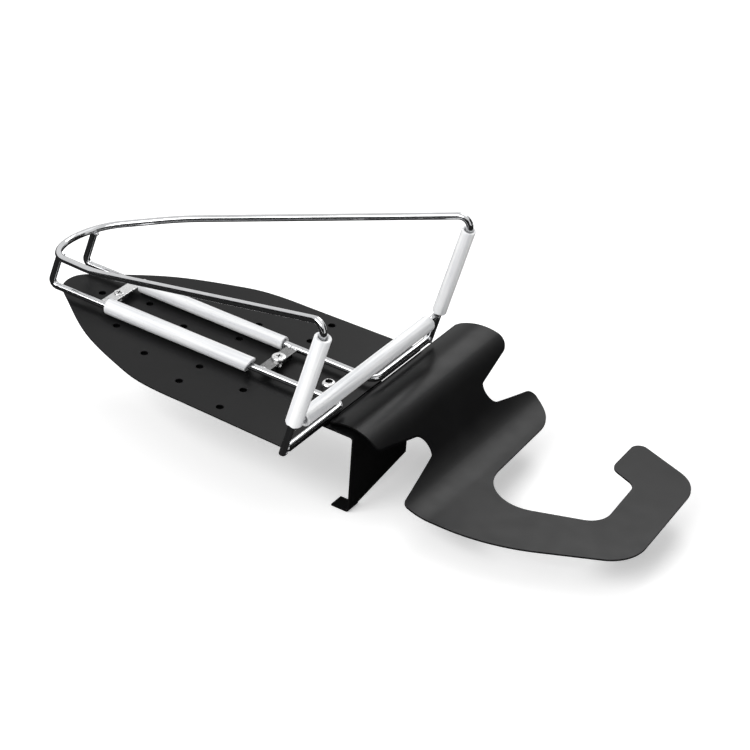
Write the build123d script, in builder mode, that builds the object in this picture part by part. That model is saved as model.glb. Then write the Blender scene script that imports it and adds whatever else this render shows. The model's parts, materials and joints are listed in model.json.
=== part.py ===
"""Iron rest for the square end of an ironing board, in millimetres.

A chrome wire stand with loose silicone sleeves is screwed to a perforated base plate. A bent hook
plate for hangers and a bracket that wraps the board's end share one bolt with the base plate.
Origin: the bolt's axis on the board's top. +X points off the board's end, +Y to the side that the
hook plate leans to, +Z up.
"""

from build123d import *
from math import cos, radians, sin, sqrt, tan
import os

os.makedirs("parts", exist_ok=True)

# Sheet metal
bracket_t = 1.5
hook_t = 1.5
plate_t = 1.2
bend_r = 2.0  # inside radius of the pressed bends
past = 1.0  # cutters and blanks run this far past what they shape

# Base plate
plate_front = 268.0  # bolt axis to the tip of the nose
plate_rear = 28.0  # bolt axis to the straight rear edge
plate_half_front = 91.0  # half width where the nose starts
plate_half_rear = 94.0
nose_length = 186.0  # tip of the nose back to the straight sides
nose_shape = [(17.0, 22.5), (57.0, 53.0), (117.0, 80.5)]  # back from the tip, half width
vent_d = 6.5
vent_counts = [1, 4, 3, 6, 6]  # vents in each row, from the tip back
vent_backs = [36.9, 78.6, 122.4, 169.5, 217.4]  # tip to each row
vent_pitches = [1.0, 22.4, 53.0, 27.4, 31.5]

# Wire stand
wire_d = 6.0
stand_lift = 3.0  # free height under the rails
rail_spacing = 45.0
rail_length = 297.0
rail_bend_r = 8.0
bar_x = 29.0  # bolt axis to the rear bars
stand_half_width = 105.0
leg_bend_r = 5.0
leg_inset = 1.3  # loop's centre line in to the tops of the legs
upright_rise = 128.0
upright_lean = 32.5
top_half_width = 103.5
top_bend_r = 8.0
loop_reach = 294.7  # rear bars to the nose of the loop
nose_rise = 33.0  # rails to the nose of the loop
loop_side_back = 71.9  # nose to the corner that the side bends round
loop_side_half = 57.5
loop_side_r = 198.0
loop_nose_half = 28.1  # half width of the corners that the nose bends round
loop_nose_r = 41.0
cross_bar_rise = 25.0
weld_sink = 1.0  # bar and leg ends past the loop's surface, coped to seat on it

# Straps and their screws
strap_w = 10.4
strap_t = 1.5
front_strap_x = -212.6
rear_strap_x = -50.3
front_screw_offset = -0.8  # middle of a strap to its screw
rear_screw_offset = 1.0
screw_d = 5.0
front_head_d = 8.8
front_head_h = 0.8
rear_head_d = 12.4
rear_head_h = 2.8
strap_nut_af = 8.0
strap_nut_t = 2.6
thread_past = 0.4  # thread showing past a nut
head_chamfer_share = 0.4  # of a head's height
recess_w = 1.2
recess_l = 5.0
recess_depth = 1.4

# Sleeves
near_sleeve_d = 13.6
cross_sleeve_d = 13.4
far_sleeve_d = 11.8
sleeve_bore_d = 8.0
sleeve_chamfer = 0.5
sleeve_rest = 0.1  # free height under the rail sleeves
sleeve_hang = 0.7  # wire's axis to the axis of the cross bar's and the near upright's sleeves
sleeve_front_gap = 0.3  # front strap to the rail sleeves
sleeve_rear_gap = 3.5  # rail sleeves to the rear strap
upright_sleeve_gap = 0.6  # cross bar to the lower ends of the upright sleeves
upright_sleeve_top_gap = 0.7  # upper ends of the upright sleeves to the top bends
cross_sleeve_gap = 11.7  # uprights to the cross bar's sleeve

# Board bolt
bolt_d = 8.0
bolt_head_d = 12.4
bolt_head_h = 5.0
bolt_head_chamfer = 0.8
socket_af = 6.0
socket_depth = 3.0
hole_clearance = 0.4  # added to a fastener's diameter
board_sheet = 1.0  # the board's top sheet, gripped by the bolt
washer_d = 16.0
washer_t = 1.6
bolt_nut_af = 13.0
bolt_nut_t = 6.5
bolt_past = 2.0

# Edge bracket
flange_front = 22.0  # bolt axis to the front end of the top flange
web_x = 55.0  # bolt axis to the outer face of the web
bracket_near = 46.0
bracket_far = 37.0
web_near_drop = 70.7
web_far_drop = 55.7
lip_length = 17.0
lip_width = 14.0

# Hook plate: side view
fold_gap = 1.5  # rear edge of the base plate to the fold
ramp_angle = 24.0
fold_r = 3.0
hump_r = 42.0
hump_rise = 4.4
fall_angle = 45.0
hook_drop = 45.7  # top of the hump to the flat of the hook
scoop_r = 56.0

# Hook plate: plan of its lobes and neck, X from the fold and Y from the frame's centre line
tongue_half_width = 26.0
tongue_r = 4.0
tongue_inner_r = 2.0
lobe_gap = 0.6  # rear edge of the base plate to the lobes
lobe_near = 41.0
lobe_far = 150.0
lobe_near_flare = 1.0
lobe_far_flare = 9.0
lobe_near_front_r = 2.5
lobe_far_front_r = 5.0
lobe_near_r = 4.0
lobe_far_r = 10.0
neck_y = 54.6
neck_half_width = 45.2
notch_x = 61.0
notch_r = 7.6
notch_front_angle = 9.0
notch_rear_angle = 11.3
notch_near_r = 5.0  # rounding of the notches' rear mouths
notch_far_r = 5.5

# Hook plate: plan of the hook, each corner's X from the fold, its Y and its rounding
hook_length = 257.0  # fold to the back of the hook
side_y = 54.6
side_x = 155.5
side_r = 169.0
back_near_y = -3.5
back_near_r = 35.0
back_taper = 8.2
back_far_y = 120.4
back_far_r = 32.0
tip_x = 179.7
tip_y = 145.9
tip_r = 8.0
tip_width = 47.1  # outer to inner side of the hook's tip
tip_skew = 1.7
tip_inner_r = 11.0
back_width = 43.8  # throat to the back of the hook
throat_y = 27.5
throat_near_r = 20.0
throat_length = 60.5
throat_skew = 4.9
throat_far_r = 11.0
arm_x = 113.5
arm_near_y = -10.8
arm_near_r = 36.0
arm_far_x = 107.3
arm_far_y = 134.0
arm_far_r = 40.0
heel_y = 148.9


def bend(before, corner, after, radius):
    """Start, middle and end of the arc that rounds a corner between two straight runs."""
    back = (before - corner).normalized()
    ahead = (after - corner).normalized()
    half = radians(back.get_angle(ahead) / 2)
    inward = (back + ahead).normalized()
    reach = radius / tan(half)
    middle = corner + inward * (radius / sin(half) - radius)
    return corner + back * reach, middle, corner + ahead * reach


def rounded_path(points, radii):
    """Draws a path of straight runs with a rounded bend at each inner point."""
    here = points[0]
    for before, corner, after, radius in zip(points, points[1:], points[2:], radii):
        start, middle, end = bend(before, corner, after, radius)
        Line(here, start)
        ThreePointArc(start, middle, end)
        here = end
    Line(here, points[-1])


def finish(part, name):
    """Labels a finished piece and writes it out."""
    part.label = name
    export_step(part, f"parts/{name}.step")
    return part


wire_r = wire_d / 2
plate_z = bracket_t + hook_t
plate_top = plate_z + plate_t
rail_z = plate_top + stand_lift + wire_r
rail_y = rail_spacing / 2
foot_x = bar_x - rail_length
bolt_hole_d = bolt_d + hole_clearance
screw_hole_d = screw_d + hole_clearance
front_screw_x = front_strap_x + front_screw_offset
rear_screw_x = rear_strap_x + rear_screw_offset

# --- Base plate -------------------------------------------------------------------------------
nose_end = -plate_front + nose_length

with BuildPart() as base_plate:
    with BuildSketch(Plane.XY.offset(plate_z)):
        with BuildLine():
            tip = (-plate_front, 0)
            Spline(
                [tip] + [(-plate_front + back, half) for back, half in nose_shape]
                + [(nose_end, plate_half_front)],
                tangents=[(0, 1), (1, 0)],
            )
            Line((nose_end, plate_half_front), (plate_rear, plate_half_rear))
            Line((plate_rear, plate_half_rear), (plate_rear, 0))
            mirror(about=Plane.XZ)
        make_face()
        for back, count, pitch in zip(vent_backs, vent_counts, vent_pitches):
            with Locations((-plate_front + back, 0)):
                with GridLocations(pitch, pitch, 1, count):
                    Circle(vent_d / 2, mode=Mode.SUBTRACT)
        Circle(bolt_hole_d / 2, mode=Mode.SUBTRACT)
        with Locations((front_screw_x, 0), (rear_screw_x, 0)):
            Circle(screw_hole_d / 2, mode=Mode.SUBTRACT)
    extrude(amount=plate_t)

# --- Edge bracket -----------------------------------------------------------------------------
with BuildPart() as edge_bracket:
    with BuildSketch(Plane.XZ.offset(-bracket_far)):
        with BuildLine() as bracket_line:
            FilletPolyline(
                (-flange_front, bracket_t),
                (web_x, bracket_t),
                (web_x, -web_near_drop),
                (web_x - lip_length, -web_near_drop),
                radius=bend_r + bracket_t,
            )
            offset(amount=-bracket_t, side=Side.RIGHT)
        make_face()
    extrude(amount=bracket_far + bracket_near)
    with BuildSketch(Plane.YZ.offset(web_x - lip_length - past)):
        with BuildLine():
            Polyline(
                (-bracket_near + lip_width, -web_near_drop - past),
                (-bracket_near + lip_width, -web_near_drop + bracket_t + bend_r),
                (bracket_far, -web_far_drop),
                (bracket_far + past, -web_far_drop),
                (bracket_far + past, -web_near_drop - past),
                close=True,
            )
        make_face()
    extrude(amount=lip_length + 2 * past, mode=Mode.SUBTRACT)
    with BuildSketch(Plane.XY):
        Circle(bolt_hole_d / 2)
    extrude(amount=bracket_t, mode=Mode.SUBTRACT)


# --- Hook plate -------------------------------------------------------------------------------
fold_x = plate_rear + fold_gap
hump_z = plate_z + hump_rise
flat_z = hump_z - hook_drop
ramp = tan(radians(ramp_angle))
fall = tan(radians(fall_angle))
hump_start_z = hump_z - hump_r * (1 - cos(radians(ramp_angle)))
hump_x = fold_x + (hump_start_z - plate_z) / ramp + hump_r * sin(radians(ramp_angle))
fall_x = hump_x + hump_r * sin(radians(fall_angle))
fall_z = hump_z - hump_r * (1 - cos(radians(fall_angle)))
crest_x = (fall_z - plate_z + fold_x * ramp + fall_x * fall) / (ramp + fall)
scoop_x = fall_x + (fall_z - flat_z) / fall

half_mouth = radians((notch_front_angle + notch_rear_angle) / 2)
mouth_tilt = radians((notch_rear_angle - notch_front_angle) / 2)
apex_x = fold_x + notch_x - sin(mouth_tilt) * notch_r / sin(half_mouth)
apex_in = neck_half_width + notch_r - cos(mouth_tilt) * notch_r / sin(half_mouth)


def notch_edge(y, angle, side):
    """Point at y on a straight edge of the notch on one side of the neck."""
    run = side * (y - neck_y) - apex_in
    return Vector(apex_x + run * tan(radians(angle)), y)


def hook_corner(x, y):
    return Vector(fold_x + x, y)


lobe_front_x = plate_rear + lobe_gap
hook_outline = [
    (Vector(-flange_front, -tongue_half_width), tongue_r),
    (Vector(lobe_front_x, -tongue_half_width), tongue_inner_r),
    (Vector(lobe_front_x, -lobe_near), lobe_near_front_r),
    (notch_edge(-lobe_near - lobe_near_flare, -notch_front_angle, -1), lobe_near_r),
    (Vector(apex_x, neck_y - apex_in), notch_r),
    (notch_edge(-side_y, notch_rear_angle, -1), notch_near_r),
    (hook_corner(side_x, -side_y), side_r),
    (hook_corner(hook_length, back_near_y), back_near_r),
    (hook_corner(hook_length - back_taper, back_far_y), back_far_r),
    (hook_corner(tip_x, tip_y), tip_r),
    (hook_corner(tip_x + tip_skew, tip_y - tip_width), tip_inner_r),
    (hook_corner(hook_length - back_width - throat_skew, throat_y + throat_length), throat_far_r),
    (hook_corner(hook_length - back_width, throat_y), throat_near_r),
    (hook_corner(arm_x, arm_near_y), arm_near_r),
    (hook_corner(arm_far_x, arm_far_y), arm_far_r),
    (notch_edge(heel_y, notch_rear_angle, 1), notch_far_r),
    (Vector(apex_x, neck_y + apex_in), notch_r),
    (notch_edge(lobe_far + lobe_far_flare, -notch_front_angle, 1), lobe_far_r),
    (Vector(lobe_front_x, lobe_far), lobe_far_front_r),
    (Vector(lobe_front_x, tongue_half_width), tongue_inner_r),
    (Vector(-flange_front, tongue_half_width), tongue_r),
]
hook_points = [point for point, _ in hook_outline]
hook_radii = [radius for _, radius in hook_outline]
blank_start = Vector(-flange_front, 0)
blank_half_width = max(abs(point.Y) for point in hook_points) + past
blank_end = fold_x + hook_length + past

with BuildPart() as hook_plate:
    with BuildSketch(Plane.XZ.offset(-blank_half_width)):
        with BuildLine():
            rounded_path(
                [
                    Vector(-flange_front - past, plate_z),
                    Vector(fold_x, plate_z),
                    Vector(crest_x, plate_z + (crest_x - fold_x) * ramp),
                    Vector(scoop_x, flat_z),
                    Vector(blank_end, flat_z),
                ],
                [fold_r, hump_r, scoop_r],
            )
            offset(amount=-hook_t, side=Side.RIGHT)
        make_face()
    extrude(amount=2 * blank_half_width)
    with BuildSketch(Plane.XY.offset(flat_z - hook_t - past)):
        with BuildLine():
            rounded_path([blank_start] + hook_points + [blank_start], hook_radii)
        make_face()
        Circle(bolt_hole_d / 2, mode=Mode.SUBTRACT)
    extrude(amount=hook_drop + hook_t + 2 * past, mode=Mode.INTERSECT)

# --- Wire stand -------------------------------------------------------------------------------
nose_x = bar_x - loop_reach
nose_z = rail_z + nose_rise
top_x = bar_x + upright_lean
top_z = rail_z + upright_rise
loop_slope = (top_z - nose_z) / (top_x - nose_x)
leg_back = loop_nose_r - sqrt(loop_nose_r**2 - rail_y**2) + leg_inset  # nose to the legs' tops


def upright_point(side, height):
    """Point on the centre line of the near (-1) or far (1) upright, above the rails' centres."""
    share = height / upright_rise
    half = stand_half_width + (top_half_width - stand_half_width) * share
    return Vector(bar_x + upright_lean * share, side * half, rail_z + height)


def loop_point(side, back, half):
    """Point on the sloping loop, at a distance back from its nose."""
    return Vector(nose_x + back, side * half, nose_z + back * loop_slope)


near_loop = [
    upright_point(-1, -wire_r),
    upright_point(-1, upright_rise),
    loop_point(-1, loop_side_back, loop_side_half),
    loop_point(-1, 0, loop_nose_half),
]
far_loop = [Vector(point.X, -point.Y, point.Z) for point in reversed(near_loop)]
loop_bends = [top_bend_r, loop_side_r, loop_nose_r]

with BuildPart() as upper_loop:
    with BuildLine() as loop_path:
        rounded_path(near_loop + far_loop, loop_bends + loop_bends[::-1])
    with BuildSketch(Plane(origin=near_loop[0], z_dir=near_loop[1] - near_loop[0])):
        Circle(wire_r)
    sweep(path=loop_path.wire())

with BuildPart() as lower_frame:
    for side in (-1, 1):
        with BuildLine() as side_path:
            rounded_path(
                [
                    Vector(bar_x, side * (stand_half_width - wire_r + weld_sink), rail_z),
                    Vector(bar_x, side * rail_y, rail_z),
                    Vector(foot_x, side * rail_y, rail_z),
                    loop_point(side, leg_back, rail_y) - Vector(0, 0, wire_r - weld_sink),
                ],
                [rail_bend_r, leg_bend_r],
            )
        with BuildSketch(Plane(origin=side_path.line @ 0, z_dir=(0, -side, 0))):
            Circle(wire_r)
        sweep(path=side_path.wire())
    add(upper_loop.part, mode=Mode.SUBTRACT)

bar_end = upright_point(1, cross_bar_rise)
bar_half_length = bar_end.Y - wire_r + weld_sink
with BuildPart() as cross_bar:
    with BuildSketch(Plane(origin=(bar_end.X, -bar_half_length, bar_end.Z), z_dir=(0, 1, 0))):
        Circle(wire_r)
    extrude(amount=2 * bar_half_length)
    add(upper_loop.part, mode=Mode.SUBTRACT)

finish(base_plate.part, "base_plate")
finish(edge_bracket.part, "edge_bracket")
finish(hook_plate.part, "hook_plate")
finish(upper_loop.part, "upper_loop")
finish(lower_frame.part, "lower_frame")
finish(cross_bar.part, "cross_bar")

# --- Straps, screws and nuts ------------------------------------------------------------------
strap_top = rail_z + strap_t / 2
for place, strap_x, screw_x, head_d, head_h in (
    ("front", front_strap_x, front_screw_x, front_head_d, front_head_h),
    ("rear", rear_strap_x, rear_screw_x, rear_head_d, rear_head_h),
):
    with BuildPart() as strap:
        with BuildSketch(Plane.XY.offset(strap_top - strap_t)):
            with Locations((strap_x, 0)):
                Rectangle(strap_w, rail_spacing - wire_d)
            with Locations((screw_x, 0)):
                Circle(screw_hole_d / 2, mode=Mode.SUBTRACT)
        extrude(amount=strap_t)
    finish(strap.part, f"{place}_strap")

    with BuildPart() as screw:
        with BuildSketch(Plane.XY.offset(strap_top)):
            with Locations((screw_x, 0)):
                Circle(head_d / 2)
        extrude(amount=head_h)
        chamfer(screw.edges().group_by(Axis.Z)[-1], length=head_chamfer_share * head_h)
        with BuildSketch(Plane.XY.offset(plate_z - strap_nut_t - thread_past)):
            with Locations((screw_x, 0)):
                Circle(screw_d / 2)
        extrude(amount=strap_top - plate_z + strap_nut_t + thread_past)
        with BuildSketch(Plane.XY.offset(strap_top + head_h)):
            with Locations((screw_x, 0)):
                Rectangle(recess_w, recess_l)
                Rectangle(recess_l, recess_w)
        extrude(amount=-recess_depth, mode=Mode.SUBTRACT)
    finish(screw.part, f"{place}_strap_screw")

    with BuildPart() as nut:
        with BuildSketch(Plane.XY.offset(plate_z - strap_nut_t)):
            with Locations((screw_x, 0)):
                RegularPolygon(strap_nut_af / 2, 6, major_radius=False)
                Circle(screw_d / 2, mode=Mode.SUBTRACT)
        extrude(amount=strap_nut_t)
    finish(nut.part, f"{place}_strap_nut")

# --- Board bolt -------------------------------------------------------------------------------
washer_top = -board_sheet
nut_top = washer_top - washer_t
bolt_end = nut_top - bolt_nut_t - bolt_past

with BuildPart() as board_bolt:
    with BuildSketch(Plane.XY.offset(plate_top)):
        Circle(bolt_head_d / 2)
    extrude(amount=bolt_head_h)
    chamfer(board_bolt.edges().group_by(Axis.Z)[-1], length=bolt_head_chamfer)
    with BuildSketch(Plane.XY.offset(plate_top + bolt_head_h)):
        RegularPolygon(socket_af / 2, 6, major_radius=False)
    extrude(amount=-socket_depth, mode=Mode.SUBTRACT)
    with BuildSketch(Plane.XY.offset(bolt_end)):
        Circle(bolt_d / 2)
    extrude(amount=plate_top - bolt_end)
finish(board_bolt.part, "board_bolt")

with BuildPart() as board_washer:
    with BuildSketch(Plane.XY.offset(washer_top - washer_t)):
        Circle(washer_d / 2)
        Circle(bolt_hole_d / 2, mode=Mode.SUBTRACT)
    extrude(amount=washer_t)
finish(board_washer.part, "board_washer")

with BuildPart() as board_nut:
    with BuildSketch(Plane.XY.offset(nut_top - bolt_nut_t)):
        RegularPolygon(bolt_nut_af / 2, 6, major_radius=False)
        Circle(bolt_d / 2, mode=Mode.SUBTRACT)
    extrude(amount=bolt_nut_t)
finish(board_nut.part, "board_nut")


# --- Silicone sleeves -------------------------------------------------------------------------
def make_sleeve(start, direction, length, diameter):
    """Loose tube round a straight stretch of wire."""
    with BuildPart() as sleeve:
        with BuildSketch(Plane(origin=start, z_dir=direction)):
            Circle(diameter / 2)
            Circle(sleeve_bore_d / 2, mode=Mode.SUBTRACT)
        extrude(amount=length)
        chamfer(sleeve.edges().filter_by(GeomType.CIRCLE), length=sleeve_chamfer)
    return sleeve.part


rail_sleeve_x = front_strap_x + strap_w / 2 + sleeve_front_gap
rail_sleeve_length = rear_strap_x - strap_w / 2 - sleeve_rear_gap - rail_sleeve_x
upright_sleeve_rise = cross_bar_rise + wire_r + upright_sleeve_gap
for place, side, diameter, hang in (
    ("near", -1, near_sleeve_d, sleeve_hang),
    ("far", 1, far_sleeve_d, 0.0),
):
    rail_start = Vector(rail_sleeve_x, side * rail_y, plate_top + sleeve_rest + diameter / 2)
    rail_sleeve = make_sleeve(rail_start, Vector(1, 0, 0), rail_sleeve_length, diameter)
    finish(rail_sleeve, f"{place}_rail_sleeve")
    low = upright_point(side, upright_sleeve_rise)
    corner = upright_point(side, upright_rise)
    shoulder = loop_point(side, loop_side_back, loop_side_half)
    top_bend_start, _, _ = bend(low, corner, shoulder, top_bend_r)
    length = (top_bend_start - low).length - upright_sleeve_top_gap
    upright_sleeve = make_sleeve(low + Vector(hang, 0, 0), corner - low, length, diameter)
    finish(upright_sleeve, f"{place}_upright_sleeve")

cross_half_length = bar_end.Y - wire_r - cross_sleeve_gap
cross_start = Vector(bar_end.X, -cross_half_length, bar_end.Z - sleeve_hang)
cross_sleeve = make_sleeve(cross_start, Vector(0, 1, 0), 2 * cross_half_length, cross_sleeve_d)
finish(cross_sleeve, "cross_bar_sleeve")
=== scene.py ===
"""Looks of an ironing board's iron rest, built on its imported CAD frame, in metres.

The CAD nodes keep the bent sheets, wires and straps, with finer finishes and softened edges. The base
plate is a copy with a fuller nose. The sleeves, screws, nuts and the board bolt are modelled again in
detail, and weld beads are added.
"""

import json
from math import copysign, cos, pi, radians, sin, tau
import random

import bmesh
import bpy
from mathutils import Matrix, Vector, noise


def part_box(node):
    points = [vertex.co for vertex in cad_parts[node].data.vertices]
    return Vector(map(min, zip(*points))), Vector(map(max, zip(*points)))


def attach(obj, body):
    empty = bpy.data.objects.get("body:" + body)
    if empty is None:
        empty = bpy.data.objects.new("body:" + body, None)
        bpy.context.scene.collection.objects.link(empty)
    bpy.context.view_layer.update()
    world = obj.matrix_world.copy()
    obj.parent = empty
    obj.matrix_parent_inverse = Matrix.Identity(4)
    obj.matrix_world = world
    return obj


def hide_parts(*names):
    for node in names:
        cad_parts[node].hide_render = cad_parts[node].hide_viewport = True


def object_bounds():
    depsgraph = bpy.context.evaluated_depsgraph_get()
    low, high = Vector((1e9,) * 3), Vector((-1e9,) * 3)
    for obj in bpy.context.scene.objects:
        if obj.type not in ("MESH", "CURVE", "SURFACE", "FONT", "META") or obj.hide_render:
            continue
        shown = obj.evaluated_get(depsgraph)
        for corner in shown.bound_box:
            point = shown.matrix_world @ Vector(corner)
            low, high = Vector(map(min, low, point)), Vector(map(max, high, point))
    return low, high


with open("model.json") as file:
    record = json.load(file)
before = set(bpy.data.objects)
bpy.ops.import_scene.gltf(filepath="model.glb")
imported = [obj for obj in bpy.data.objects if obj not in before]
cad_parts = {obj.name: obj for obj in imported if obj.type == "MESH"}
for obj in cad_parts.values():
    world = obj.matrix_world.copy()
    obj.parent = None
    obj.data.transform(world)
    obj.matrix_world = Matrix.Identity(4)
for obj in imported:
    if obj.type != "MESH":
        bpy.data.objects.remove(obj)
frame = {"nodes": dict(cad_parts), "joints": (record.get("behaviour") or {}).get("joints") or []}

cad_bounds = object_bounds()
nodes = frame["nodes"]
joints = {joint["name"]: joint for joint in frame["joints"]}
mm = 0.001
DRAWN_PLACE = "drawn_place"  # a sleeve's points with their length shrunk, for the ridges and the painted shade bands that run along it


# --- Shader helpers ---------------------------------------------------------------------------
def principled(name, **sockets):
    """New Principled material. Constants go on the shader's own sockets, named with _ for a space."""
    material = bpy.data.materials.new(name)
    material.use_nodes = True
    shader = material.node_tree.nodes["Principled BSDF"]
    for socket, value in sockets.items():
        shader.inputs[socket.replace("_", " ")].default_value = value
    return material, material.node_tree, shader


def add_noise(tree, size, detail=2.0, stretch=(1.0, 1.0, 1.0)):
    """Noise with features of about this size in metres, stretched along an axis by a share below 1."""
    place = tree.nodes.new("ShaderNodeTexCoord")
    scale = tree.nodes.new("ShaderNodeMapping")
    scale.inputs["Scale"].default_value = stretch
    texture = tree.nodes.new("ShaderNodeTexNoise")
    texture.inputs["Scale"].default_value = 1 / size
    texture.inputs["Detail"].default_value = detail
    tree.links.new(place.outputs["Object"], scale.inputs["Vector"])
    tree.links.new(scale.outputs["Vector"], texture.inputs["Vector"])
    return texture.outputs["Fac"]


def spread(tree, value, low, high, start=0.3, end=0.7):
    """Maps a noise value between start and end to a range."""
    span = tree.nodes.new("ShaderNodeMapRange")
    for socket, number in (("From Min", start), ("From Max", end), ("To Min", low), ("To Max", high)):
        span.inputs[socket].default_value = number
    tree.links.new(value, span.inputs["Value"])
    return span.outputs["Result"]


def add_colours(tree, shader, share, dark, light):
    """Colours the surface from dark to light by a noise value."""
    mix = tree.nodes.new("ShaderNodeMix")
    mix.data_type = "RGBA"
    mix.inputs["A"].default_value = (*dark, 1)
    mix.inputs["B"].default_value = (*light, 1)
    tree.links.new(share, mix.inputs["Factor"])
    tree.links.new(mix.outputs["Result"], shader.inputs["Base Color"])


def add_roughness(tree, shader, value, low, high):
    tree.links.new(spread(tree, value, low, high), shader.inputs["Roughness"])


def add_bump(tree, shader, height, depth):
    """Chains a bump of this depth in metres in front of the shader's normal."""
    bump = tree.nodes.new("ShaderNodeBump")
    bump.inputs["Distance"].default_value = depth
    tree.links.new(height, bump.inputs["Height"])
    if shader.inputs["Normal"].is_linked:
        tree.links.new(shader.inputs["Normal"].links[0].from_socket, bump.inputs["Normal"])
    tree.links.new(bump.outputs["Normal"], shader.inputs["Normal"])


# --- Materials --------------------------------------------------------------------------------
def powder_coat():
    """Satin black powder coat: faint orange peel, fine grain, cloudy gloss."""
    material, tree, shader = principled("black_powder_coat", Specular_IOR_Level=0.10)
    add_colours(tree, shader, add_noise(tree, 40 * mm), (0.0042, 0.0042, 0.0044), (0.0066, 0.0066, 0.0068))
    add_roughness(tree, shader, add_noise(tree, 14 * mm, 3), 0.30, 0.35)
    add_bump(tree, shader, add_noise(tree, 1.6 * mm), 0.008 * mm)
    add_bump(tree, shader, add_noise(tree, 0.4 * mm), 0.003 * mm)
    return material


def plated(name, cloud, dark, light, spots, roughness, ripple, depth, ripple_detail=2.0):
    """Plated metal with clouds, duller spots and ripples of these sizes."""
    material, tree, shader = principled(name, Metallic=1.0)
    add_colours(tree, shader, add_noise(tree, cloud, 3), dark, light)
    add_roughness(tree, shader, add_noise(tree, spots, 3), *roughness)
    add_bump(tree, shader, add_noise(tree, ripple, ripple_detail), depth)
    return material


def satin_strip(name, dark, light):
    """Plated strip, brushed across the stand."""
    material, tree, shader = principled(name, Metallic=1.0)
    lines = add_noise(tree, 0.5 * mm, 3, stretch=(1.0, 0.04, 1.0))
    add_colours(tree, shader, lines, (dark,) * 3, (light,) * 3)
    add_roughness(tree, shader, add_noise(tree, 4 * mm, 3), 0.22, 0.36)
    add_bump(tree, shader, lines, 0.01 * mm)
    return material


def recess():
    """Walls of a driver recess: bare metal, painted dark as the shade inside it."""
    material, tree, shader = principled("driver_recess_painted_shade", Metallic=1.0)
    cloud = add_noise(tree, 1.5 * mm)
    add_colours(tree, shader, cloud, (0.02, 0.02, 0.02), (0.12, 0.12, 0.12))
    add_roughness(tree, shader, cloud, 0.35, 0.55)
    return material


def silicone():
    """Milky silicone tube, softly translucent, with faint ridges along its length and painted shade and
    highlight bands that follow them.
    """
    material, tree, shader = principled(
        "milky_silicone", Subsurface_Weight=0.22, Subsurface_Scale=4 * mm, Specular_IOR_Level=0.45,
        Subsurface_Radius=(1.0, 1.0, 1.0),
    )
    along = tree.nodes.new("ShaderNodeAttribute")
    along.attribute_name = DRAWN_PLACE
    ridges_and_painted_bands = tree.nodes.new("ShaderNodeTexNoise")
    ridges_and_painted_bands.inputs["Scale"].default_value = 1 / (3.6 * mm)
    ridges_and_painted_bands.inputs["Detail"].default_value = 2.0
    tree.links.new(along.outputs["Vector"], ridges_and_painted_bands.inputs["Vector"])
    # Painted shade and highlight: the tube is coloured darker along the ridges' low bands and lighter along
    # their high ones.
    share = spread(tree, ridges_and_painted_bands.outputs["Fac"], 0.0, 1.0, 0.35, 0.65)
    add_colours(tree, shader, share, (0.70, 0.71, 0.73), (0.90, 0.905, 0.905))
    add_roughness(tree, shader, add_noise(tree, 3 * mm, 3), 0.26, 0.42)
    add_bump(tree, shader, add_noise(tree, 2.5 * mm), 0.04 * mm)
    add_bump(tree, shader, ridges_and_painted_bands.outputs["Fac"], 0.8 * mm)
    return material


black_finish = powder_coat()
chrome_finish = plated(
    "bright_chrome", cloud=9 * mm, dark=(0.50, 0.505, 0.515), light=(0.64, 0.645, 0.655),
    spots=5 * mm, roughness=(0.05, 0.13), ripple=3 * mm, depth=0.02 * mm,
)
weld_finish = plated(
    "plated_weld", cloud=2 * mm, dark=(0.45, 0.45, 0.46), light=(0.82, 0.83, 0.84),
    spots=1.2 * mm, roughness=(0.14, 0.34), ripple=0.9 * mm, depth=0.12 * mm, ripple_detail=3,
)
bright_strip = satin_strip("bright_strip", 0.55, 0.78)
# The rear strap's strip is given a darker colour than the front strap's.
darker_strip = satin_strip("darker_strip", 0.08, 0.30)
zinc_finish = plated(
    "bright_zinc", cloud=3 * mm, dark=(0.62, 0.62, 0.63), light=(0.82, 0.82, 0.81),
    spots=1.5 * mm, roughness=(0.13, 0.28), ripple=0.8 * mm, depth=0.01 * mm,
)
# Painted shade: a dark finish for the walls of driver recesses.
painted_recess_shade = recess()
silicone_finish = silicone()


# --- CAD nodes --------------------------------------------------------------------------------
def dress(piece, material, edge=0.0):
    """Gives a CAD shape its finish and, for sheet metal, softened edges beside faces that stay flat."""
    for place in piece.material_slots:
        place.material = material
    if edge:
        weld = piece.modifiers.new("weld", "WELD")
        weld.merge_threshold = 0.001 * mm
        soft = piece.modifiers.new("soft_edges", "BEVEL")
        soft.width = edge
        soft.segments = 2
        soft.limit_method = "ANGLE"
        soft.angle_limit = radians(35)
        soft.face_strength_mode = "FSTR_ALL"
        clean = piece.modifiers.new("flat_faces_stay_flat", "WEIGHTED_NORMAL")
        clean.mode = "CORNER_ANGLE"
        clean.use_face_influence = True


def fuller_nose():
    """The base plate with its nose's sides a little fuller, so that its outline bulges all the way."""
    start, end, most = 3 * mm, 62 * mm, 2.0 * mm  # stretch behind the tip, and the widest change
    middle = 8 * mm  # half the width that stays as it is
    skew = 0.75  # below 1 the widest change moves toward the tip
    plate = nodes["base_plate"].copy()
    plate.name = "vented_plate"
    plate.data = nodes["base_plate"].data.copy()
    bpy.context.scene.collection.objects.link(plate)
    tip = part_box("base_plate")[0].x
    for vertex in plate.data.vertices:
        share = (vertex.co.x - tip - start) / (end - start)
        if 0 < share < 1 and abs(vertex.co.y) > middle:
            vertex.co.y += copysign(most * sin(pi * share**skew) ** 2, vertex.co.y)
    return plate


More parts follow.
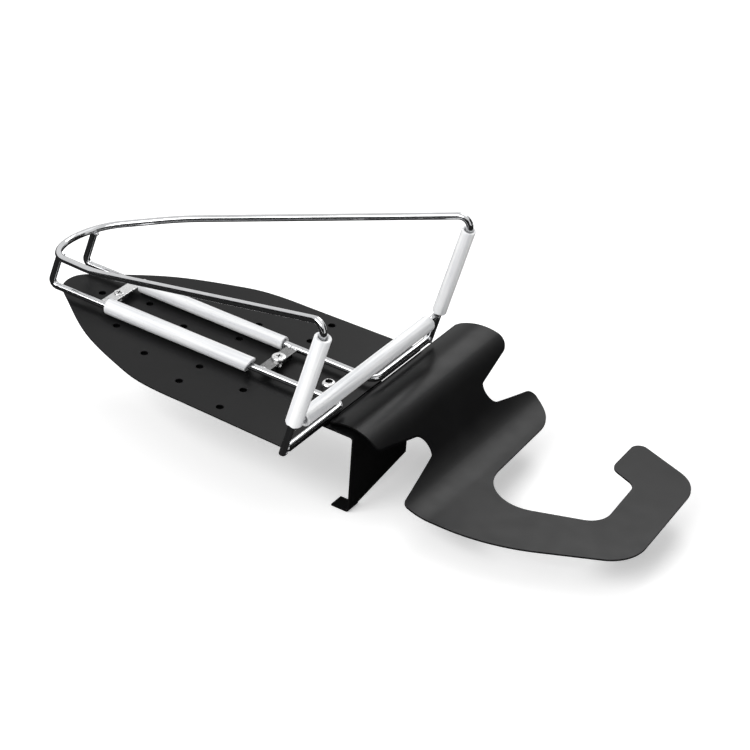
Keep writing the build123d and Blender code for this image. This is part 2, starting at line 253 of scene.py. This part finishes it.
sheet_edge = 0.3 * mm
washer_edge = 0.15 * mm
for name in ("edge_bracket", "hook_plate"):
    dress(nodes[name], black_finish, sheet_edge)
for name in ("upper_loop", "lower_frame", "cross_bar"):
    dress(nodes[name], chrome_finish)
dress(nodes["front_strap"], bright_strip, sheet_edge)
dress(nodes["rear_strap"], darker_strip, sheet_edge)
dress(nodes["board_washer"], zinc_finish, washer_edge)
vented_plate = fuller_nose()
dress(vented_plate, black_finish, sheet_edge)
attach(vented_plate, "rest")
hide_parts("base_plate")


# --- Mesh helpers -----------------------------------------------------------------------------
def upright_frame(origin, axis):
    """Matrix whose Z runs along an axis from an origin."""
    turn = Vector(axis).to_track_quat("Z", "Y").to_matrix().to_4x4()
    return Matrix.Translation(origin) @ turn


def new_piece(name, mesh_data, material):
    """Links a bmesh as a smooth-shaded piece."""
    mesh = bpy.data.meshes.new(name)
    bmesh.ops.recalc_face_normals(mesh_data, faces=mesh_data.faces)
    mesh_data.to_mesh(mesh)
    mesh_data.free()
    mesh.shade_smooth()
    mesh.materials.append(material)
    piece = bpy.data.objects.new(name, mesh)
    bpy.context.scene.collection.objects.link(piece)
    return piece


def add_ring(form, radius, height, count, turn=0.0):
    """Points round Z, the first one turned by an angle from +X. Without a radius it is one point."""
    if not radius:
        return [form.verts.new((0, 0, height))]
    angles = [turn + tau * k / count for k in range(count)]
    return [form.verts.new((radius * cos(angle), radius * sin(angle), height)) for angle in angles]


def lathe(profile, turns=48):
    """Revolves (radius, height) points about Z. Points on the axis close the form, else it is a ring."""
    form = bmesh.new()
    rings = [add_ring(form, radius, height, turns) for radius, height in profile]
    closed = len(rings[0]) > 1
    for low, high in zip(rings, rings[1:] + rings[:1] if closed else rings[1:]):
        for k in range(turns):
            after = (k + 1) % turns
            below = [low[k % len(low)], low[after % len(low)]]
            above = [high[after % len(high)], high[k % len(high)]]
            corners = list(dict.fromkeys(below + above))
            if len(corners) > 2:
                form.faces.new(corners)
    return form


def arc(centre, radius, start, end, steps):
    """(radius, height) points on an arc in the profile plane, angles in degrees from outward."""
    angles = [radians(start + (end - start) * k / steps) for k in range(steps + 1)]
    return [(centre[0] + radius * cos(angle), centre[1] + radius * sin(angle)) for angle in angles]


def prism(sides, radius, low, high, turn=0.0, top_radius=None):
    """Upright prism, or a tapered one."""
    form = bmesh.new()
    bottom = add_ring(form, radius, low, sides, turn)
    top = add_ring(form, top_radius or radius, high, sides, turn)
    form.faces.new(bottom)
    form.faces.new(top)
    for k in range(sides):
        after = (k + 1) % sides
        form.faces.new((bottom[k], bottom[after], top[after], top[k]))
    return form


def combine(piece, tool_form, operation, cut_finish=None):
    """Cuts a piece by, or keeps what it shares with, another form in the same place."""
    tool = new_piece("tool", tool_form, cut_finish or piece.data.materials[0])
    step = piece.modifiers.new("cut", "BOOLEAN")
    step.operation = operation
    step.solver = "EXACT"
    step.material_mode = "TRANSFER"
    step.object = tool
    bpy.context.view_layer.update()
    shaped = bpy.data.meshes.new_from_object(piece.evaluated_get(bpy.context.evaluated_depsgraph_get()))
    piece.modifiers.clear()
    piece.data = shaped
    bpy.data.objects.remove(tool)


def sharpen(piece, angle):
    """Keeps the edges sharper than an angle in degrees crisp in a smooth-shaded piece."""
    mesh = piece.data
    form = bmesh.new()
    form.from_mesh(mesh)
    for edge in form.edges:
        edge.smooth = edge.calc_face_angle(0) < radians(angle)
    form.to_mesh(mesh)
    form.free()


def settle(piece, matrix, body, stands_for):
    """Moves a finished piece to its place, ties it to its body and hides the CAD node that it stands for.
    """
    piece.data.transform(matrix)
    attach(piece, body)
    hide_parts(stands_for)


# --- Sleeves ----------------------------------------------------------------------------------
wire_radius = 3.0 * mm
bore_radius = 4.0 * mm
rim_radius = 0.8 * mm  # rounding of a sleeve's outer rim
bore_edge = ((0.0, 0.7 * mm), (0.25 * mm, 0.25 * mm), (0.8 * mm, 0.0))  # (outward, back) from its mouth
cut_slant = 0.5  # mm that an end may lean each way
cut_roughness = 0.18 * mm
cut_reach = 6 * mm  # stretch at each end that leans and is rough
bevel_reach = 14 * mm  # stretch that an oblique cut changes
wave_depth, wave_length = 0.10 * mm, 22 * mm
band_stretch = 0.03  # share of the true length that the ridges' and painted bands' noise sees


def sleeve_profile(radius, length):
    """Closed outline of a tube with rounded rims, from its bore round its start, outside and end."""
    bore_start, bore_end = length * 0.06, length * 0.94  # rings inside the bore
    steps = 40  # rings along the outside
    start_mouth = [(bore_radius + outward, back) for outward, back in bore_edge]
    end_mouth = [(bore_radius + outward, length - back) for outward, back in reversed(bore_edge)]
    rim = radius - rim_radius
    return (
        [(bore_radius, bore_start)] + start_mouth
        + arc((rim, rim_radius), rim_radius, -80, 0, 5)
        + [(radius, length * (0.5 + k) / steps) for k in range(1, steps - 1)]
        + arc((rim, length - rim_radius), rim_radius, 0, 80, 5)
        + end_mouth + [(bore_radius, bore_end)]
    )


def make_sleeve(name, seed, bevel_cut=0.0, ragged=cut_roughness):
    """Soft thick tube with rounded, uneven ends, along its joint's axis.

    bevel_cut is how much shorter its underside is at the axis's far end, ragged how rough its near end is.
    """
    joint = joints[name + "_turn"]
    axis = Vector(joint["axis"])
    pivot = Vector(joint["pos_m"])
    offsets = [vertex.co - pivot for vertex in nodes[name].data.vertices]
    along = [offset.dot(axis) for offset in offsets]
    radius = max((offset - axis * offset.dot(axis)).length for offset in offsets)
    length = max(along) - min(along)
    place = upright_frame(pivot + axis * min(along), axis)
    up = (place.to_3x3().inverted() @ Vector((0, 0, 1))).normalized()
    form = lathe(sleeve_profile(radius, length), 56)
    rng = random.Random(seed)
    slants = [[rng.uniform(-cut_slant, cut_slant) * mm for _ in "xy"] for _ in ("start", "end")]
    drift = Vector((rng.random(), rng.random(), rng.random())) * 10
    for vertex in form.verts:
        x, y, z = vertex.co
        out = Vector((x, y, 0)).normalized()
        share = z / length
        inward, lean, roughness = (1, slants[0], ragged) if share < 0.5 else (-1, slants[1], cut_roughness)
        near_end = max(0.0, 1 - min(z, length - z) / cut_reach)
        slant = (lean[0] * out.x + lean[1] * out.y) * near_end
        rough = noise.noise(Vector((out.x * 2, out.y * 2, share * 40)) + drift) * (near_end * roughness)
        vertex.co.z += inward * (abs(slant) * 0.7 + abs(rough))
        near_bevel = max(0.0, 1 - (length - z) / bevel_reach)
        vertex.co.z -= bevel_cut * near_bevel * (1 - out.dot(up)) / 2
        wave = noise.noise(Vector((out.x * 1.2, out.y * 1.2, z / wave_length)) + drift)
        vertex.co += out * (wave * wave_depth)
    piece = new_piece(name + "_tube", form, silicone_finish)
    drawn = piece.data.attributes.new(DRAWN_PLACE, "FLOAT_VECTOR", "POINT")
    for vertex, entry in zip(piece.data.vertices, drawn.data):
        entry.vector = (vertex.co.x, vertex.co.y, vertex.co.z * band_stretch + seed * 50 * mm)
    settle(piece, place, name, name)


make_sleeve("near_rail_sleeve", 3, bevel_cut=5.5 * mm)
make_sleeve("far_rail_sleeve", 4)
make_sleeve("near_upright_sleeve", 5, ragged=1.6 * mm)
make_sleeve("far_upright_sleeve", 6, ragged=0.8 * mm)
make_sleeve("cross_bar_sleeve", 7)


# --- Fasteners --------------------------------------------------------------------------------
def node_middle(node):
    low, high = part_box(node)
    return (low + high) / 2


def threaded_profile(radius, low, high, pitch, depth):
    """Outline of a thread between two heights, from low to high."""
    profile = []
    count = max(1, int((high - low) / pitch))
    step = (high - low) / count
    for k in range(count):
        start = low + k * step
        profile += [
            (radius - depth, start + 0.05 * step),
            (radius, start + 0.45 * step),
            (radius, start + 0.6 * step),
        ]
    return profile + [(radius - depth, high)]


def make_pan_screw(name):
    """Round pan head with a cross recess on a threaded shank. Heights start under the head."""
    low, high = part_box(name)
    middle = (low + high) / 2
    head_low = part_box(name.replace("_screw", ""))[1].z
    radius = (high.x - low.x) / 2
    head = high.z - head_low
    bottom = low.z - head_low
    shank = 2.5 * mm
    dome, dome_low = head * 0.62, head * 0.35
    profile = (
        [(0, bottom), (shank * 0.72, bottom)]
        + threaded_profile(shank, bottom + 0.4 * mm, -0.05 * mm, pitch=0.8 * mm, depth=0.42 * mm)
        + [(shank * 0.82, 0.0), (radius - 0.25 * mm, 0.0), (radius, 0.25 * mm), (radius, dome_low)]
        + arc((radius - dome, dome_low), dome, 8, 84, 8)
        + [(radius * 0.25, head), (0, head)]
    )
    piece = new_piece(name + "_pan", lathe(profile), zinc_finish)
    depth, clear = 1.7 * mm, 0.5 * mm  # of the recess below and above the head's top
    arm, arm_at_top, arm_width = 3.1 * mm, 3.6 * mm, 0.22  # its corners' reach, and width by length
    for turn in (0.0, pi / 2):
        slot = prism(4, arm, head - depth, head + clear, pi / 4, arm_at_top)
        bmesh.ops.scale(slot, vec=(1.0, arm_width, 1.0), verts=slot.verts)
        bmesh.ops.rotate(slot, matrix=Matrix.Rotation(turn + radians(20), 3, "Z"), verts=slot.verts)
        combine(piece, slot, "DIFFERENCE", painted_recess_shade)
    sharpen(piece, 32)
    settle(piece, Matrix.Translation((middle.x, middle.y, head_low)), "rest", name)


def make_nut(name, bore):
    """Hexagonal nut with chamfered corners on both faces and a bore of this radius."""
    low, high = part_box(name)
    height = high.z - low.z
    flat = (high.y - low.y) / 2
    corner = flat / cos(pi / 6)
    chamfer = (corner - flat) * 0.6
    piece = new_piece(name + "_hex", prism(6, corner, 0, height), zinc_finish)
    face, rim = flat * 0.96, corner + 0.01 * mm
    rounded = [(0, 0), (face, 0), (rim, chamfer), (rim, height - chamfer), (face, height), (0, height)]
    combine(piece, lathe(rounded, 64), "INTERSECT")
    drill = [(0, -mm), (bore, -mm), (bore, height + mm), (0, height + mm)]
    combine(piece, lathe(drill, 40), "DIFFERENCE")
    sharpen(piece, 25)
    middle = node_middle(name)
    settle(piece, Matrix.Translation((middle.x, middle.y, low.z)), "rest", name)


def make_board_bolt():
    """Low round head with a hexagonal socket, on a threaded shank. Heights start under the head."""
    low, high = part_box("board_bolt")
    plate_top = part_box("base_plate")[1].z
    radius = high.x
    head = high.z - plate_top
    bottom = low.z - plate_top
    shank = 4.0 * mm
    dome = head * 0.66
    profile = (
        [(0, bottom), (shank * 0.78, bottom)]
        + threaded_profile(shank, bottom + 0.8 * mm, -4.5 * mm, pitch=1.25 * mm, depth=0.65 * mm)
        + [(shank, -4.3 * mm), (shank, 0.0), (radius - 0.3 * mm, 0.0), (radius, 0.35 * mm)]
        + [(radius, head * 0.30)]
        + arc((radius - dome, head * 0.32), dome, 6, 78, 9)
        + [(radius * 0.60, head), (0, head)]
    )
    piece = new_piece("board_bolt_button", lathe(profile, 56), zinc_finish)
    across_flats, depth, clear = 6.0 * mm, 3.0 * mm, 0.4 * mm  # of the socket
    socket = prism(6, across_flats / 2 / cos(pi / 6), head - depth, head + clear)
    combine(piece, socket, "DIFFERENCE", painted_recess_shade)
    sharpen(piece, 32)
    settle(piece, Matrix.Translation((0, 0, plate_top)), "rest", "board_bolt")


for place in ("front", "rear"):
    make_pan_screw(f"{place}_strap_screw")
    make_nut(f"{place}_strap_nut", 2.5 * mm)
make_nut("board_nut", 4.0 * mm)
make_board_bolt()


# --- Weld beads -------------------------------------------------------------------------------
def make_weld(name, lumps, seed):
    """Irregular bead of merged lumps, each (centre, radii), riding with the stand."""
    form = bmesh.new()
    rng = random.Random(seed)
    for centre, radii in lumps:
        lump = bmesh.ops.create_icosphere(form, subdivisions=4, radius=1.0)["verts"]
        drift = Vector((rng.random(), rng.random(), rng.random())) * 20
        for vertex in lump:
            coarse, fine = noise.noise(vertex.co * 1.4 + drift), noise.noise(vertex.co * 4 + drift)
            swell = 1 + 0.22 * coarse + 0.08 * fine
            vertex.co = Vector(centre) + Vector([vertex.co[i] * radii[i] * swell for i in range(3)])
    piece = new_piece(name, form, weld_finish)
    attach(piece, "rest")


def make_joint_weld(name, middle, side, seed, *lumps):
    """Weld of lumps round a middle, each (x, y outward, z) and radii, in mm. side is 1 for the far side."""
    make_weld(name, [
        (middle + Vector((x, side * outward, z)) * mm, [radius * mm for radius in radii])
        for (x, outward, z), radii in lumps
    ], seed + side)


def end_middle(node, direction, side):
    """Middle of a wire's end face: the points that lie furthest along a direction on one side."""
    points = [vertex.co for vertex in nodes[node].data.vertices if vertex.co.y * side > 0]
    furthest = max(point.dot(direction) for point in points)
    face = [point for point in points if point.dot(direction) > furthest - 1.2 * mm]
    return sum(face, Vector()) / len(face)


rail_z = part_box("lower_frame")[0].z + wire_radius
rail_y = joints["far_rail_sleeve_turn"]["pos_m"][1]
for strap in ("front_strap", "rear_strap"):
    middle = node_middle(strap)
    for place, side in (("near", -1), ("far", 1)):
        y = side * (rail_y - wire_radius * 0.75)
        make_weld(f"{place}_{strap}_weld", [
            ((middle.x + dx * mm, y, rail_z + dz * mm), (2.6 * mm, 1.5 * mm, 1.5 * mm))
            for dx, dz in ((-2.6, 0.5), (0.4, 0.9), (3.0, 0.3))
        ], 11 + side)

bar_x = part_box("lower_frame")[1].x - wire_radius
foot_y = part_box("upper_loop")[1].y - wire_radius
cross_middle = node_middle("cross_bar")
for place, side in (("near", -1), ("far", 1)):
    make_joint_weld(
        f"{place}_foot_weld", Vector((bar_x, side * foot_y, rail_z)), side, 31,
        ((-1.8, -3.4, 1.6), (1.9, 1.6, 1.5)),
        ((2.0, -3.2, 1.2), (1.6, 1.8, 1.4)),
        ((-2.2, -2.8, -1.4), (1.4, 1.5, 1.6)),
        ((1.6, -1.2, -2.2), (1.5, 1.7, 1.2)),
    )
    bar_end = Vector((cross_middle.x, side * (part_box("cross_bar")[1].y - 0.6 * mm), cross_middle.z))
    make_joint_weld(
        f"{place}_cross_bar_weld", bar_end, side, 41,
        ((-2.4, 0.0, 0.6), (1.3, 1.7, 1.5)),
        ((0.2, -0.2, 2.6), (1.6, 1.6, 1.2)),
        ((2.3, 0.0, -0.4), (1.2, 1.6, 1.7)),
    )
    make_joint_weld(
        f"{place}_leg_weld", end_middle("lower_frame", Vector((0, 0, 1)), side), side, 51,
        ((2.9, -0.6, -0.2), (1.3, 2.0, 1.5)),
        ((-2.9, 0.8, -0.6), (1.5, 1.8, 1.4)),
        ((-0.4, 3.1, -0.2), (1.8, 1.3, 1.5)),
    )


# --- Stage ------------------------------------------------------------------------------------
def seen_directly(tree):
    """1 for rays from the camera, a mirror or glass, else 0."""
    ray = tree.nodes.new("ShaderNodeLightPath")
    seen = ray.outputs["Is Camera Ray"]
    for kind in ("Is Glossy Ray", "Is Transmission Ray"):
        either = tree.nodes.new("ShaderNodeMath")
        either.operation = "MAXIMUM"
        tree.links.new(seen, either.inputs[0])
        tree.links.new(ray.outputs[kind], either.inputs[1])
        seen = either.outputs[0]
    return seen


def floor_material():
    """Pale floor that the camera and mirrors see as near-white, with the object's soft shadow."""
    material, tree, shader = principled(
        "pale_floor", Base_Color=(0.9, 0.9, 0.9, 1), Roughness=0.9, Emission_Color=(1, 1, 1, 1)
    )
    glow = tree.nodes.new("ShaderNodeMath")
    glow.operation = "MULTIPLY"
    glow.inputs[1].default_value = 0.35
    tree.links.new(seen_directly(tree), glow.inputs[0])
    tree.links.new(glow.outputs[0], shader.inputs["Emission Strength"])
    return material


def card_material(name, dark, light):
    """Matt grey, slightly cloudy."""
    material, tree, shader = principled(name, Roughness=1.0, Specular_IOR_Level=0.0)
    add_colours(tree, shader, add_noise(tree, 30 * mm), (dark,) * 3, (light,) * 3)
    return material


def add_sheet(name, corners, material):
    mesh = bpy.data.meshes.new(name)
    mesh.from_pydata(corners, [], [tuple(range(len(corners)))])
    mesh.materials.append(material)
    sheet = bpy.data.objects.new(name, mesh)
    bpy.context.scene.collection.objects.link(sheet)
    return sheet


def level_corners(low, high, z):
    return [(low[0], low[1], z), (high[0], low[1], z), (high[0], high[1], z), (low[0], high[1], z)]


floor_z = cad_bounds[0].z - 0.5 * mm
add_sheet("floor", level_corners((-9, -9), (9, 9), floor_z), floor_material())

card_finish = card_material("dark_card", 0.012, 0.035)


def add_card(name, corners):
    """Dark card that only reflections see, as in a studio, so that bright metal has dark lines."""
    card = add_sheet(name, corners, card_finish)
    card.visible_camera = False
    card.visible_diffuse = False
    card.visible_shadow = False


def add_standing_cards(name, start, end, distance, top, count):
    """Row of cards round the object between two directions, in degrees from +X, up from the floor."""
    turns = [radians(start + (end - start) * k / count) for k in range(count + 1)]
    feet = [(distance * cos(turn), distance * sin(turn)) for turn in turns]
    for k, (a, b) in enumerate(zip(feet, feet[1:])):
        add_card(f"{name}_{k}", [(*a, floor_z), (*b, floor_z), (*b, top), (*a, top)])


add_card("board_card", level_corners((-0.70, -0.30), (0.03, 0.30), -3 * mm))
add_card("floor_card", level_corners((-1.3, -1.3), (1.1, 0.8), floor_z + 0.2 * mm))
add_standing_cards("side_card", 5, 72, distance=1.3, top=1.0, count=3)
add_standing_cards("front_card", -165, -30, distance=1.6, top=0.75, count=6)

# A dark patch close under the base plate, inside its outline, is painted shade that stands for the dark
# board seen in the vents.
plate_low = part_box("base_plate")[0]
patch_shape = [(26, 12), (66, 44), (117, 68), (160, 83), (230, 88)]  # mm back from the nose, half width
patch = [(plate_low.x + back * mm, half * mm, plate_low.z - 1.6 * mm) for back, half in patch_shape]
patch += [(x, -y, z) for x, y, z in reversed(patch)]
vent_shade_sheet = add_sheet("vent_painted_shade", patch, card_material("vent_painted_shade", 0.002, 0.006))
vent_shade_sheet.visible_shadow = False


def add_softbox(name, place, size, power):
    """Rectangular lamp that faces the origin."""
    light = bpy.data.lights.new(name, "AREA")
    light.shape = "RECTANGLE"
    light.size, light.size_y = size
    light.energy = power
    lamp = bpy.data.objects.new(name, light)
    lamp.location = place
    lamp.rotation_euler = (-Vector(place)).to_track_quat("-Z", "Y").to_euler()
    bpy.context.scene.collection.objects.link(lamp)


add_softbox("top_softbox", (0.1, 0.4, 1.7), (1.5, 1.0), 2.5)
add_softbox("back_softbox", (-0.2, 1.3, 1.25), (0.9, 0.6), 11)
add_softbox("front_softbox", (-0.45, -1.65, 1.35), (2.1, 1.2), 38)

fill_level, backdrop_level = 0.47, 1.0  # of the world on matt surfaces, and for camera and mirrors
world = bpy.data.worlds.new("studio")
world.use_nodes = True
bpy.context.scene.world = world
backdrop = world.node_tree.nodes["Background"]
backdrop.inputs["Color"].default_value = (1, 1, 1, 1)
level = world.node_tree.nodes.new("ShaderNodeMapRange")
level.inputs["To Min"].default_value = fill_level
level.inputs["To Max"].default_value = backdrop_level
world.node_tree.links.new(seen_directly(world.node_tree), level.inputs["Value"])
world.node_tree.links.new(level.outputs["Result"], backdrop.inputs["Strength"])


# --- Camera -----------------------------------------------------------------------------------
def add_camera(aim, azimuth, elevation, roll, distance, lens):
    """Camera that looks at a point from an azimuth and elevation, turned about its own axis, in degrees."""
    azimuth, elevation, roll = radians(azimuth), radians(elevation), radians(roll)
    look = Vector((-sin(azimuth) * cos(elevation), cos(azimuth) * cos(elevation), -sin(elevation)))
    level_right = Vector((cos(azimuth), sin(azimuth), 0))
    level_up = level_right.cross(look)
    right = cos(roll) * level_right + sin(roll) * level_up
    up = cos(roll) * level_up - sin(roll) * level_right
    matrix = Matrix((right, up, -look)).transposed().to_4x4()
    matrix.translation = Vector(aim) - look * distance
    data = bpy.data.cameras.new("camera")
    data.sensor_width = 36
    data.lens = lens
    camera = bpy.data.objects.new("camera", data)
    camera.matrix_world = matrix
    bpy.context.scene.collection.objects.link(camera)
    bpy.context.scene.camera = camera


add_camera(
    aim=(35.13 * mm, 12.44 * mm, 22.87 * mm), azimuth=31.23, elevation=32.58, roll=4.05,
    distance=2.0421, lens=122.93,
)
bpy.context.scene.view_settings.view_transform = "Standard"
